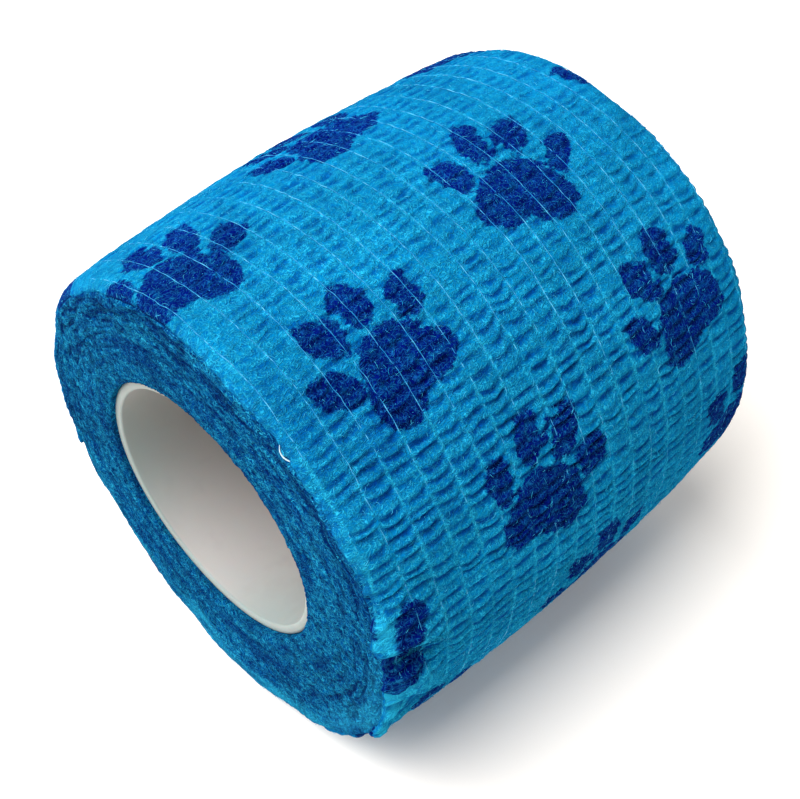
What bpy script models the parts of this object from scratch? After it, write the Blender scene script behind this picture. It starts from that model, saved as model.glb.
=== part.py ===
"""Cohesive bandage roll: a 50 mm strip of crinkled elastic cloth wound on a plastic tube.

The roll lies on its side. Its axis runs along Y, the near end faces -Y and +Z is up. The origin is
at the middle of the bounding box's underside. Angles are in degrees, round the roll's axis from +X
towards +Z.
"""

import math

import bmesh
import bpy

# Driving dimensions, in metres and degrees
CLOTH_WIDTH = 0.0500        # width of the strip, along the roll's axis
CLOTH_THICKNESS = 0.00055   # one turn of the crinkled strip
ROLL_RADIUS = 0.0264        # outer radius at mid-width
END_DROP = 0.0012           # how much smaller the radius is at the ends than at mid-width
FAR_SWELL = 0.0001          # extra radius at the far end, taken away at the near end
OVAL_SHARE = 0.0135         # the long radius over the mean one, as a share of it
OVAL_ANGLE = 111.4          # where the long radius points
CUT_END_ANGLE = 200.0       # where the strip's cut end lies, low on the -X side
CUT_END_SLOPE = 0.6         # angle over which the outer turn drops to the one below
FLAT_SPOT_DEPTH = 0.0003    # how far the roll settles on the surface under it

EDGE_ROUND = 0.0016         # mean rounding of the two rims
EDGE_ROUND_CHANGE = 0.0007  # how much the rounding grows and shrinks round the rim
EDGE_ROUND_ANGLE = 140.0    # where the rim is roundest
END_DISH = 0.0002           # hollow of each end face between the rim and the core
NEAR_TILT = (-0.0021, -0.0045)  # rise of the near end face along its axis, per metre of X and of Z
FAR_TILT = (-0.0028, 0.0103)    # the same for the far end face

# Waves of the strip's edge round a rim: cycles a turn, height, and phase at the near and far ends
RIM_WAVES = (
    {"cycles": 5, "height": 0.00010, "near": 20.0, "far": 250.0},
    {"cycles": 11, "height": 0.00008, "near": 140.0, "far": 65.0},
    {"cycles": 19, "height": 0.00007, "near": 300.0, "far": 190.0},
)

CORE_RADIUS = 0.01427       # outer radius of the tube
CORE_WALL = 0.0010
CORE_OFFSET = (-0.00075, 0.00063)  # the tube's axis from the roll's axis, along X and Z
CORE_RECESS_NEAR = 0.0007   # how far the tube's near end lies inside the roll's
CORE_RECESS_FAR = 0.0005
CORE_EDGE = 0.0002          # chamfer of the tube's rims
WINDING_GAP = 0.0003        # clearance between the tube and the first turn

# Fineness of the surfaces
ROLL_SIDES = 108
ROLL_STEPS = 16             # along the roll's width
ROUND_STEPS = 4             # across each rounded rim
FACE_STEPS = 3              # across each end face
BORE_STEPS = 2
CORE_SIDES = 72


def winding_angles():
    """Angles of one turn, from just past the cut end round to its top edge."""
    step = (360.0 - CUT_END_SLOPE) / ROLL_SIDES
    start = CUT_END_ANGLE + CUT_END_SLOPE
    return [start + step * i for i in range(ROLL_SIDES + 1)]


def outer_radius(angle, y):
    """Barrel crown, oval, and the spiral that gains one thickness of cloth in a turn."""
    along = y / (CLOTH_WIDTH / 2)
    barrel = ROLL_RADIUS - END_DROP * along ** 2 + FAR_SWELL * along
    oval = 1.0 + OVAL_SHARE * math.cos(2 * math.radians(angle - OVAL_ANGLE))
    turn = (angle - CUT_END_ANGLE) / 360.0
    return barrel * oval + CLOTH_THICKNESS * (turn - 0.5)


def edge_round(angle):
    """Rounding of the rims, largest at EDGE_ROUND_ANGLE and smallest across from it."""
    return EDGE_ROUND + EDGE_ROUND_CHANGE * math.cos(math.radians(angle - EDGE_ROUND_ANGLE))


def rim_wave(angle, end):
    """How far the strip's edge strays along the axis at this angle."""
    total = 0.0
    for wave in RIM_WAVES:
        total += wave["height"] * math.sin(math.radians(wave["cycles"] * angle + wave[end]))
    return total


def outer_point(angle, radius, y):
    """A point about the roll's axis."""
    turn = math.radians(angle)
    return [radius * math.cos(turn), y, radius * math.sin(turn)]


def bore_point(angle, y):
    """A point on the bore, about the tube's axis."""
    turn = math.radians(angle)
    radius = CORE_RADIUS + WINDING_GAP
    return [CORE_OFFSET[0] + radius * math.cos(turn), y, CORE_OFFSET[1] + radius * math.sin(turn)]


def end_plane(x, z, side):
    """Position along the axis of the near (side -1) or far (side +1) end face at x, z."""
    tilt = NEAR_TILT if side < 0 else FAR_TILT
    return side * CLOTH_WIDTH / 2 + tilt[0] * x + tilt[1] * z


def rim_point(angle, side, bend):
    """A point on a rounded rim: bend 0 is on the barrel, bend 1 is on the end face."""
    end = "near" if side < 0 else "far"
    swing = bend * math.pi / 2
    rounding = edge_round(angle)
    edge_y = side * CLOTH_WIDTH / 2
    radius = outer_radius(angle, edge_y - side * rounding) - rounding * (1 - math.cos(swing))
    point = outer_point(angle, radius, 0.0)
    reach = side * rounding * (1 - math.sin(swing))
    point[1] = end_plane(point[0], point[2], side) + rim_wave(angle, end) - reach
    return point


def face_point(angle, side, inward):
    """A point on an end face: inward 0 is at the rim, inward 1 is at the bore."""
    rim = rim_point(angle, side, 1.0)
    bore = bore_point(angle, 0.0)
    bore[1] = end_plane(bore[0], bore[2], side)
    dish = END_DISH * math.sin(math.pi * inward)
    point = [a + (b - a) * inward for a, b in zip(rim, bore)]
    point[1] -= side * dish
    return point


def barrel_point(angle, share):
    """A point on the barrel between the rims: share 0 is near, share 1 is far."""
    near = rim_point(angle, -1, 0.0)
    far = rim_point(angle, 1, 0.0)
    y = near[1] + (far[1] - near[1]) * share
    return outer_point(angle, outer_radius(angle, y), y)


def bore_wall_point(angle, share):
    """A point on the bore's wall: share 0 is at the far end, share 1 is at the near end."""
    far = face_point(angle, 1, 1.0)
    near = face_point(angle, -1, 1.0)
    return [a + (b - a) * share for a, b in zip(far, near)]


def roll_rings():
    """Rings of points that run along the barrel, over the far end, back through the bore and out."""
    angles = winding_angles()
    rings = []
    for i in range(ROLL_STEPS + 1):
        rings.append([barrel_point(a, i / ROLL_STEPS) for a in angles])
    for i in range(1, ROUND_STEPS + 1):
        rings.append([rim_point(a, 1, i / ROUND_STEPS) for a in angles])
    for i in range(1, FACE_STEPS + 1):
        rings.append([face_point(a, 1, i / FACE_STEPS) for a in angles])
    for i in range(1, BORE_STEPS + 1):
        rings.append([bore_wall_point(a, i / BORE_STEPS) for a in angles])
    for i in range(FACE_STEPS - 1, -1, -1):
        rings.append([face_point(a, -1, i / FACE_STEPS) for a in angles])
    for i in range(ROUND_STEPS - 1, 0, -1):
        rings.append([rim_point(a, -1, i / ROUND_STEPS) for a in angles])
    return rings


def core_rings():
    """Rings of the tube: outer wall, chamfered far rim, inner wall, chamfered near rim."""
    near = -CLOTH_WIDTH / 2 + CORE_RECESS_NEAR
    far = CLOTH_WIDTH / 2 - CORE_RECESS_FAR
    inner = CORE_RADIUS - CORE_WALL
    profile = (
        (CORE_RADIUS, near + CORE_EDGE),
        (CORE_RADIUS, far - CORE_EDGE),
        (CORE_RADIUS - CORE_EDGE, far),
        (inner + CORE_EDGE, far),
        (inner, far - CORE_EDGE),
        (inner, near + CORE_EDGE),
        (inner + CORE_EDGE, near),
        (CORE_RADIUS - CORE_EDGE, near),
    )
    angles = [360.0 * i / CORE_SIDES for i in range(CORE_SIDES)]
    rings = []
    for radius, y in profile:
        ring = [outer_point(a, radius, y) for a in angles]
        rings.append([[x + CORE_OFFSET[0], y, z + CORE_OFFSET[1]] for x, y, z in ring])
    return rings


def settle(rings):
    """Flatten the underside where the roll's weight rests, and return the surface's height."""
    lowest = min(point[2] for ring in rings for point in ring)
    floor = lowest + FLAT_SPOT_DEPTH
    for ring in rings:
        for point in ring:
            point[2] = max(point[2], floor)
    return floor


def ground_origin(rings, floor):
    """The middle of the underside of the box round all rings."""
    xs = [point[0] for ring in rings for point in ring]
    ys = [point[1] for ring in rings for point in ring]
    return ((min(xs) + max(xs)) / 2, (min(ys) + max(ys)) / 2, floor)


def closed_loft(name, rings, origin, material):
    """One closed body through rings that loop round, placed so that origin is at zero."""
    bm = bmesh.new()
    rows = []
    for ring in rings:
        rows.append([bm.verts.new([p[k] - origin[k] for k in range(3)]) for p in ring])
    for r, row in enumerate(rows):
        following = rows[(r + 1) % len(rows)]
        for i in range(len(row)):
            j = (i + 1) % len(row)
            bm.faces.new((row[i], row[j], following[j], following[i]))
    bmesh.ops.recalc_face_normals(bm, faces=bm.faces)
    mesh = bpy.data.meshes.new(name)
    bm.to_mesh(mesh)
    bm.free()
    mesh.shade_smooth()
    mesh.set_sharp_from_angle(angle=math.radians(35))
    mesh.materials.append(material)
    body = bpy.data.objects.new(name, mesh)
    bpy.context.collection.objects.link(body)
    return body


def plain_material(name, colour, roughness):
    """A Principled material of one colour."""
    material = bpy.data.materials.new(name)
    material.use_nodes = True
    shader = material.node_tree.nodes["Principled BSDF"]
    shader.inputs["Base Color"].default_value = (*colour, 1.0)
    shader.inputs["Roughness"].default_value = roughness
    shader.inputs["Metallic"].default_value = 0.0
    return material


def build():
    for old in list(bpy.data.objects):
        bpy.data.objects.remove(old, do_unlink=True)
    cloth = plain_material("crinkled_cloth", (0.004, 0.31, 0.64), 0.9)
    plastic = plain_material("white_plastic", (0.80, 0.79, 0.76), 0.4)
    roll = roll_rings()
    floor = settle(roll)
    origin = ground_origin(roll, floor)
    closed_loft("bandage", roll, origin, cloth)
    closed_loft("core", core_rings(), origin, plastic)


build()
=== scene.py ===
import math

import bpy
import numpy as np
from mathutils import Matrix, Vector


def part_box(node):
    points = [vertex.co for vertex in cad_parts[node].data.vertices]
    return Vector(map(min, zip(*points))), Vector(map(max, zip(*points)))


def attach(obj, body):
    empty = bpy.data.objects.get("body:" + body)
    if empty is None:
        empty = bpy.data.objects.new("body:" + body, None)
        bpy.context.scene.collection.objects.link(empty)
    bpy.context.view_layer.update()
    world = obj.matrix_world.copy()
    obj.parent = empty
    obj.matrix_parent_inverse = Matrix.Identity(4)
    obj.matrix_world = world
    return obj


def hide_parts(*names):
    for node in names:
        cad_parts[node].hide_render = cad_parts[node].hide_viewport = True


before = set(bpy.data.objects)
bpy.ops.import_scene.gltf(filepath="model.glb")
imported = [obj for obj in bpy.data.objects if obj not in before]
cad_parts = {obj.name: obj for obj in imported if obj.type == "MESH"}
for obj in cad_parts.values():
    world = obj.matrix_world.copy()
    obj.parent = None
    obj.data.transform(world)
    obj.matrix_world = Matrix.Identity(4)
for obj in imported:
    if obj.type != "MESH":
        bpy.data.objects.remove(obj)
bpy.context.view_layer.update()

# All shapes are worked out in millimetres about the roll's own axis and placed by placePoints.
# Angles are in degrees round the axis, from +X towards +Z. Along means along the strip of cloth,
# across means over its width, and lift is the height above the roll's mean surface.
mm = 0.001

roll = {
    "width": 50.0,
    "thickness": 0.55,  # one turn of cloth
    "radius": 26.4,  # at mid-width
    "endDrop": 1.2,  # how much less at the ends
    "farSwell": 0.1,  # more at the far end, less at the near one
    "oval": (0.0135, 111.4),  # share that the long radius is above the mean, and its angle
    "cutEndAngle": 200.0,
    "rounding": (1.6, 0.7, 140.0),  # of the rims: mean, change, and the angle of the most
    "tilt": {-1: (-0.0021, -0.0045), 1: (-0.0028, 0.0103)},  # of each end, along X and Z
    "rimCycles": (5, 11, 19),
    "rimHeights": (0.10, 0.08, 0.07),
    "rimPhases": {-1: (20.0, 140.0, 300.0), 1: (250.0, 65.0, 190.0)},
    "coreOffset": (-0.75, 0.63),
    "coreRecess": 0.7,
}
halfWidth = roll["width"] / 2

coreLow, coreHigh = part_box("core")
coreMid = (coreLow + coreHigh) / 2 / mm
coreRadius = (coreHigh.x - coreLow.x) / 2 / mm
rollCentre = np.array((
    coreMid.x - roll["coreOffset"][0],
    coreLow.y / mm + halfWidth - roll["coreRecess"],
    coreMid.z - roll["coreOffset"][1],
))


# ---- shape of the roll

def softNoise(x, y, seed, wrap=0):
    # random values from -1 to 1 on a unit lattice, blended between its points with 3t^2 - 2t^3;
    # wrap repeats the field after that many cells of x
    side = 256
    lattice = np.random.default_rng(seed).uniform(-1, 1, (side, side))
    x, y = np.broadcast_arrays(np.asarray(x, float), np.asarray(y, float))
    ix, iy = np.floor(x).astype(int), np.floor(y).astype(int)
    fx, fy = x - ix, y - iy
    fx, fy = fx * fx * (3 - 2 * fx), fy * fy * (3 - 2 * fy)
    period = wrap or side
    x0, x1 = ix % period, (ix + 1) % period
    y0, y1 = iy % side, (iy + 1) % side
    low = lattice[x0, y0] * (1 - fx) + lattice[x1, y0] * fx
    high = lattice[x0, y1] * (1 - fx) + lattice[x1, y1] * fx
    return low * (1 - fy) + high * fy


def rise(x, low, high):
    # 0 up to low, 1 from high on, 3t^2 - 2t^3 between
    t = np.clip((x - low) / (high - low), 0.0, 1.0)
    return t * t * (3 - 2 * t)


def fade(x, low, high):
    return 1 - rise(x, low, high)


def hump(x, middle, spread):
    # a bell: e to the power of minus the square of the distance from its middle, in spreads
    return np.exp(-(((x - middle) / spread) ** 2))


def beside(*tables):
    return np.concatenate(tables, axis=1)


def fromAngle(angle, middle):
    # signed difference of two angles, from -180 to 180
    return (angle - middle + 180) % 360 - 180


def barrelRadius(angle, y):
    # crown: radius minus drop times (2y/width)^2; oval: one plus share times cos 2(angle - oval);
    # spiral: one thickness gained in a turn from the cut end
    along = y / halfWidth
    crown = roll["radius"] - roll["endDrop"] * along ** 2 + roll["farSwell"] * along
    share, longAngle = roll["oval"]
    oval = 1 + share * np.cos(2 * np.radians(angle - longAngle))
    return crown * oval + roll["thickness"] * ((angle - roll["cutEndAngle"]) / 360 - 0.5)


def rimRounding(angle):
    mean, change, most = roll["rounding"]
    return mean + change * np.cos(np.radians(angle - most))


def rimPlace(angle, side):
    # where an end face meets the barrel: its tilted plane plus three sines round the rim.
    # side is -1 at the near end and 1 at the far end
    turn = np.radians(angle)
    tiltX, tiltZ = roll["tilt"][side]
    slope = tiltX * np.cos(turn) + tiltZ * np.sin(turn)
    waves = zip(roll["rimCycles"], roll["rimHeights"], roll["rimPhases"][side])
    wave = sum(height * np.sin(cycles * turn + math.radians(phase)) for cycles, height, phase in waves)
    return side * halfWidth + barrelRadius(angle, side * halfWidth) * slope + wave


def halfBarrel(angle, side):
    # from mid-width to where the rim's rounding starts
    return np.abs(rimPlace(angle, side)) - rimRounding(angle)


def overRoll(angle, across, lift):
    # a point of the cloth: straight over the barrel, then round the rim on an arc of rimRounding
    angle, across, lift = np.broadcast_arrays(angle, across, lift)
    side = np.where(across < 0, -1, 1)
    straight = np.where(across < 0, halfBarrel(angle, -1), halfBarrel(angle, 1))
    rounding = rimRounding(angle)
    bend = np.clip((np.abs(across) - straight) / rounding, 0, math.pi / 2)
    flatY = side * np.minimum(np.abs(across), straight)
    radius = barrelRadius(angle, flatY) - rounding * (1 - np.cos(bend)) + lift * np.cos(bend)
    return angle, radius, flatY + side * (rounding + lift) * np.sin(bend)


def placePoints(angle, radius, y):
    # cylinder to box coordinates in metres; nothing goes below the surface the roll lies on
    turn = np.radians(angle)
    points = np.stack((radius * np.cos(turn), y + 0 * turn, radius * np.sin(turn)), axis=-1)
    points = (points + rollCentre) * mm
    points[..., 2] = np.maximum(points[..., 2], 0.0)
    return points


# ---- meshes from arrays

def loft(name, points, uv, fields, material, closedRows=False, capEnds=False):
    # points: count x rows x columns x 3 in metres, for each part rows of closed rings that quads
    # join. uv has one more column, and one more row where the rows close, so that the pattern
    # doesn't run backwards over the last gap. fields have a value for each point
    count, rows, columns = points.shape[:3]
    spans = (np.arange(count), np.arange(rows - (not closedRows)), np.arange(columns))
    n, i, j = (table.ravel() for table in np.meshgrid(*spans, indexing="ij"))
    corners = ((i, j), (i, j + 1), (i + 1, j + 1), (i + 1, j))
    quads = np.stack([(n * rows + a % rows) * columns + b % columns for a, b in corners], axis=1)
    # faces point out when the sum of a . (b x c) over each quad's two triangles is positive
    a, b, c, d = points.reshape(-1, 3)[quads[:len(quads) // count].T]
    turn = 1 if (a * np.cross(b, c)).sum() + (a * np.cross(c, d)).sum() > 0 else -1
    cornerUv = np.stack([uv[a, b] for a, b in corners], axis=1)[:, ::turn].reshape(-1, 2)
    faces = quads[:, ::turn].tolist()
    if capEnds:
        first = np.arange(count)[:, None] * rows * columns + np.arange(columns)
        last = first + (rows - 1) * columns
        faces += first[:, ::-turn].tolist() + last[:, ::turn].tolist()
        capUv = [np.tile(row, (count, 1)) for row in (uv[0, :-1][::-turn], uv[-1, :-1][::turn])]
        cornerUv = np.concatenate((cornerUv, *capUv))
    mesh = bpy.data.meshes.new(name)
    mesh.from_pydata(points.reshape(-1, 3), [], faces)
    mesh.shade_smooth()
    mesh.uv_layers.new(name="cloth").data.foreach_set("uv", cornerUv.astype(np.float32).ravel())
    for key, values in fields.items():
        attribute = mesh.attributes.new(key, "FLOAT", "POINT")
        attribute.data.foreach_set("value", np.asarray(values, np.float32).ravel())
    mesh.materials.append(material)
    piece = show(name, mesh)
    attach(piece, "root")
    print(name, "made,", len(mesh.vertices), "points,", len(mesh.polygons), "faces")
    return piece


def show(name, data):
    piece = bpy.data.objects.new(name, data)
    bpy.context.scene.collection.objects.link(piece)
    return piece


def unit(vectors):
    return vectors / (np.linalg.norm(vectors, axis=-1, keepdims=True) + 1e-12)


def tubes(name, paths, radii, sides, material, tone=1.0):
    # paths: count x steps x 3 in metres; radii: count x steps. Each ring stands square to its
    # path, turned from the direction away from the roll's axis
    count, steps = paths.shape[:2]
    ahead = unit(np.gradient(paths, axis=1))
    out = paths - np.array((rollCentre[0] * mm, 0, rollCentre[2] * mm))
    out[..., 1] = 0
    aside = unit(np.cross(ahead, out))
    up = np.cross(aside, ahead)
    turn = 2 * math.pi * np.arange(sides)[:, None] / sides
    ring = np.cos(turn) * up[:, :, None, :] + np.sin(turn) * aside[:, :, None, :]
    points = paths[:, :, None, :] + radii[:, :, None, None] * ring
    points[..., 2] = np.maximum(points[..., 2], 0.0)
    uv = np.stack(np.meshgrid(np.arange(sides + 1) / sides, np.arange(steps)), axis=-1)
    fields = {"tone": np.repeat(np.broadcast_to(tone, (count, steps)), sides)}
    return loft(name, points, uv, fields, material, capEnds=True)


# ---- printed pattern

pawPrint = {
    "size": 1.02,  # 1 makes a paw about 14 mm wide
    "stepAcross": (21.5, 6.5),  # from one paw to the next: across, along
    "stepAlong": (-7.5, 18.5),
    "shift": (3.0, 5.5),
    "tilt": 19.0,  # left and right by turns
    "melt": 0.7,  # how far the pads run together
    "pads": (  # across, along, half width, half length, turn
        (0.0, -0.6, 3.4, 2.9, 0.0),
        (-2.5, -2.7, 2.5, 2.3, 25.0),
        (2.5, -2.7, 2.5, 2.3, -25.0),
    ),
    "toes": (
        (-5.4, 1.7, 1.55, 2.25, 28.0),
        (-1.95, 4.9, 1.65, 2.5, 8.0),
        (1.95, 4.9, 1.65, 2.5, -8.0),
        (5.4, 1.7, 1.55, 2.25, -28.0),
    ),
}


def ovalDistance(x, y, oval):
    # about how far outside a turned oval a point lies: (its own radius - 1) times the half width
    cx, cy, wide, long, turn = oval
    c, s = math.cos(math.radians(turn)), math.sin(math.radians(turn))
    dx, dy = x - cx, y - cy
    return (np.hypot((dx * c + dy * s) / wide, (dy * c - dx * s) / long) - 1) * wide


def pawDistance(x, y):
    # the pads run together with a soft minimum, the toes stand apart
    melt = pawPrint["melt"]
    merged = -melt * np.log(sum(np.exp(-ovalDistance(x, y, oval) / melt) for oval in pawPrint["pads"]))
    return np.minimum.reduce([merged, *(ovalDistance(x, y, oval) for oval in pawPrint["toes"])])


def printDistance(across, along):
    # distance in mm to the nearest paw, negative inside. The paws stand on a slanting lattice, and
    # the four lattice points round each place are tried
    ax, ay = pawPrint["stepAcross"]
    bx, by = pawPrint["stepAlong"]
    size = pawPrint["size"]
    x, y = across - pawPrint["shift"][0], along - pawPrint["shift"][1]
    area = ax * by - ay * bx
    p, q = (x * by - y * bx) / area, (y * ax - x * ay) / area
    nearest = np.full(np.shape(x), 99.0)
    for i, j in ((0, 0), (0, 1), (1, 0), (1, 1)):
        pi, qj = np.floor(p) + i, np.floor(q) + j
        turn = np.radians(pawPrint["tilt"]) * np.where((pi + qj) % 2 == 0, 1, -1)
        dx, dy = x - pi * ax - qj * bx, y - pi * ay - qj * by
        px = (dx * np.cos(turn) + dy * np.sin(turn)) / size
        py = (dy * np.cos(turn) - dx * np.sin(turn)) / size
        nearest = np.minimum(nearest, pawDistance(px, py) * size)
    return nearest


# ---- nodes

current = {}  # the tree that nodes are added to, set by newGroup and newMaterial


def fill(node, **inputs):
    # inputs name a node's sockets, with _ for a space, or number them as i0, i1; a socket given
    # as value is linked, anything else is set
    for key, value in inputs.items():
        numbered = key[0] == "i" and key[1:].isdigit()
        socket = node.inputs[int(key[1:]) if numbered else key.replace("_", " ")]
        if isinstance(value, bpy.types.NodeSocket):
            current["tree"].links.new(value, socket)
        elif socket.type == "RGBA":
            socket.default_value = (*value, 1.0)
        else:
            socket.default_value = value


def addNode(kind, settings=None, **inputs):
    node = current["tree"].nodes.new(kind)
    for key, value in (settings or {}).items():
        setattr(node, key, value)
    fill(node, **inputs)
    return node.outputs


def maths(operation, a, b=0.0):
    return addNode("ShaderNodeMath", {"operation": operation}, i0=a, i1=b)[0]


def times(a, b):
    return maths("MULTIPLY", a, b)


def plus(a, b):
    return maths("ADD", a, b)


def remap(value, low, high, toLow=0.0, toHigh=1.0):
    smooth = {"interpolation_type": "SMOOTHSTEP"}
    spans = {"From_Min": low, "From_Max": high, "To_Min": toLow, "To_Max": toHigh}
    return addNode("ShaderNodeMapRange", smooth, Value=value, **spans)[0]


def mixColour(factor, a, b, blend="MIX"):
    settings = {"data_type": "RGBA", "blend_type": blend}
    return addNode("ShaderNodeMix", settings, i0=factor, i6=a, i7=b)[2]


def layered(colour, *layers):
    # colours laid over one another, each by its own share
    for share, over in layers:
        colour = mixColour(share, colour, over)
    return colour


def noise(vector, scale, detail=2.0, roughness=0.5):
    values = {"Scale": scale, "Detail": detail, "Roughness": roughness}
    return addNode("ShaderNodeTexNoise", Vector=vector, **values)["Fac"]


def mapped(vector, kind="POINT", **values):
    return addNode("ShaderNodeMapping", {"vector_type": kind}, Vector=vector, **values)[0]


def attributeOf(name):
    return addNode("ShaderNodeAttribute", {"attribute_name": name})["Fac"]


def bumpOf(height, strength=1.0, distance=0.001):
    return addNode("ShaderNodeBump", Strength=strength, Distance=distance, Height=height)[0]


# ---- node groups

def newGroup(name, values, outputs):
    # a group takes a vector and some values, and puts out values
    group = bpy.data.node_groups.new(name, "ShaderNodeTree")
    group.interface.new_socket("Vector", in_out="INPUT", socket_type="NodeSocketVector")
    for label, value in values.items():
        socket = group.interface.new_socket(label, in_out="INPUT", socket_type="NodeSocketFloat")
        socket.default_value = value
    for label in outputs:
        group.interface.new_socket(label, in_out="OUTPUT", socket_type="NodeSocketFloat")
    current["tree"] = group
    return group, addNode("NodeGroupInput")


fibreDirections = (  # turn in degrees, cells for each mm lengthways and sideways
    (9, 1.6, 8.5),
    (54, 2.0, 10.0),
    (98, 1.5, 8.0),
    (143, 1.8, 9.2),
)


def makeTangledFibres():
    # matted fibres are the crests of four noises, each drawn out in its own direction and bent by
    # a slow noise; folds are thin lines where a slow noise passes its middle value, raised in the relief
    # and put out as painted highlights; pits and painted glints are the lowest and highest places of two
    # finer noises
    group, source = newGroup("tangledFibres", {}, ("Mask", "Pits", "Sparks", "Folds", "Height"))
    place = source["Vector"]
    slow = addNode("ShaderNodeTexNoise", Vector=place, Scale=1.2, Detail=1.0)["Color"]
    settings = {"operation": "MULTIPLY_ADD"}
    bend = addNode("ShaderNodeVectorMath", settings, i0=slow, i1=(0.5, 0.5, 0.0), i2=place)[0]
    mask = 0.0
    for layer, (turn, lengthways, sideways) in enumerate(fibreDirections):
        drawn = mapped(
            bend, "TEXTURE", Location=(13.7 * layer, 5.1 * layer, 0),
            Rotation=(0, 0, math.radians(turn)), Scale=(1 / lengthways, 1 / sideways, 1.0))
        crest = remap(noise(drawn, 1.0, detail=0.0), 0.60, 0.72)
        mask = maths("MAXIMUM", crest, mask)
    swell = mapped(bend, Scale=(0.75, 1.35, 1.0))
    swell = noise(swell, 1.0, detail=2.5, roughness=0.55)
    nearLine = maths("ABSOLUTE", maths("SUBTRACT", swell, 0.5))
    folds = remap(nearLine, 0.0, 0.045, 1.0, 0.0)
    aside = mapped(place, Location=(31.0, 17.0, 0))
    pits = remap(noise(aside, 2.4, detail=3.0), 0.52, 0.36)
    glints = remap(noise(aside, 8.5, detail=0.0), 0.76, 0.84)
    height = plus(times(plus(mask, folds), 0.5), noise(place, 5.2))
    addNode("NodeGroupOutput", Mask=mask, Pits=pits, Sparks=glints, Folds=folds, Height=height)
    return group


def makePrintInk():
    # 1 where ink lies: the distance to the print, roughened, and broken by pale fibres
    group, source = newGroup("printInk", {"Distance": 1.0, "Fibres": 0.0}, ("Mask",))
    rough = noise(source["Vector"], 1.7, detail=5.0, roughness=0.68)
    strayed = times(maths("SUBTRACT", rough, 0.5), 1.5)
    inked = remap(plus(source["Distance"], strayed), 0.16, -0.16)
    worn = noise(source["Vector"], 1.1, detail=4.0, roughness=0.65)
    cover = remap(worn, 0.28, 0.52, 0.70, 1.0)
    unbroken = maths("SUBTRACT", 1.0, times(source["Fibres"], 0.10))
    addNode("NodeGroupOutput", Mask=times(inked, times(cover, unbroken)))
    return group


def makeUnevenness():
    # slow light and dark drift of a surface, with a finer grain on top
    group, source = newGroup("unevenness", {"Broad": 0.1, "Fine": 1.0}, ("Value",))
    broad = noise(source["Vector"], source["Broad"], detail=3.0)
    fine = noise(source["Vector"], source["Fine"], detail=2.0)
    addNode("NodeGroupOutput", Value=times(plus(broad, fine), 0.5))
    return group


groups = {"fibres": makeTangledFibres(), "ink": makePrintInk(), "uneven": makeUnevenness()}


def useGroup(key, **inputs):
    return addNode("ShaderNodeGroup", {"node_tree": groups[key]}, **inputs)


# ---- materials

def newMaterial(name, **fixed):
    material = bpy.data.materials.new(name)
    material.use_nodes = True
    current["tree"] = material.node_tree
    shader = material.node_tree.nodes["Principled BSDF"]
    fill(shader, **fixed)
    return material, shader


crinkleLook = {
    "cloth": (0.0004, 0.174, 0.390),
    # the next colour is the painted shade of the creases, which the pits and dark blotches also take
    "shadeAndPits": (0.0002, 0.048, 0.262),
    "fibre": (0.018, 0.415, 0.670),
    "ink": (0.0003, 0.0049, 0.142),
    # the same painted shade and pits on the ink
    "inkShadeAndPits": (0.0002, 0.0009, 0.053),
    "inkFibre": (0.0071, 0.076, 0.374),
    # painted glints on single fibres
    "spark": (0.05, 0.50, 0.82),
    # the tones at which the painted crease shade gives way to bare cloth
    "rise": (0.0, 0.95),  # pucker heights between which valley turns to cloth
    "pits": 0.35,
    "fibres": 0.60,
    "inkFibres": 0.38,
    # painted highlights along the fold lines
    "folds": 0.25,
    "patches": 0.7,  # cells of dense and thin fibre for each mm
    "thin": 0.50,  # share of the fibre that the thin ones keep
    "blotches": (0.50, 0.16),  # where they start, and how dark they are
    "scale": (1.0, 1.0, 1.0),
    "felt": (1.6, 0.6, 0.20),  # coarse relief: cells for each mm, roughness, height
    "matting": 0.13,  # relief of the fibres
    "calmed": True,  # relief follows the crisp attribute
    "roughness": 0.9,
    "sheen": 0.025,
}
# The end face's cloth is darker than the outer turn's: partly for its cut fibre ends, partly as painted
# shade among them
endLook = {
    "cloth": (0.0005, 0.090, 0.295),
    # the next colour is the painted shade of the gaps and slits between turns, which the pits and dark
    # blotches also take
    "shadeAndPits": (0.0002, 0.013, 0.102),
    "fibre": (0.018, 0.353, 0.590),
    "ink": (0.0002, 0.018, 0.139),
    # the same painted shade and pits on the ink
    "inkShadeAndPits": (0.0002, 0.0049, 0.070),
    "inkFibre": (0.0049, 0.098, 0.328),
    # painted glints on single fibres
    "spark": (0.05, 0.50, 0.82),
    "rise": (0.0, 0.75),
    "pits": 0.90,
    "fibres": 0.86,
    "inkFibres": 0.7,
    # painted highlights along the fold lines
    "folds": 0.25,
    "patches": 0.85,
    "thin": 0.35,
    "blotches": (0.54, 0.85),
    "scale": (0.85, 0.95, 1.0),
    "felt": (2.6, 0.7, 0.36),
    "matting": 0.18,
    "calmed": False,
    "roughness": 0.92,
    "sheen": 0.02,
}


def printedInk(uv, streaks):
    distance = attributeOf("ink")
    return useGroup("ink", Distance=distance, Vector=uv, Fibres=streaks["Mask"])["Mask"]


def edgeInk(uv, streaks):
    # on the stacked edges the print shows only as soft dark drifts along the turns
    ragged = mapped(uv, Scale=(0.26, 0.55, 1.0))
    ragged = noise(ragged, 0.8, detail=6.0, roughness=0.72)
    distance = plus(attributeOf("ink"), times(ragged, 9.0))
    return remap(distance, 6.2, 3.2, 0.0, 0.80)


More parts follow.
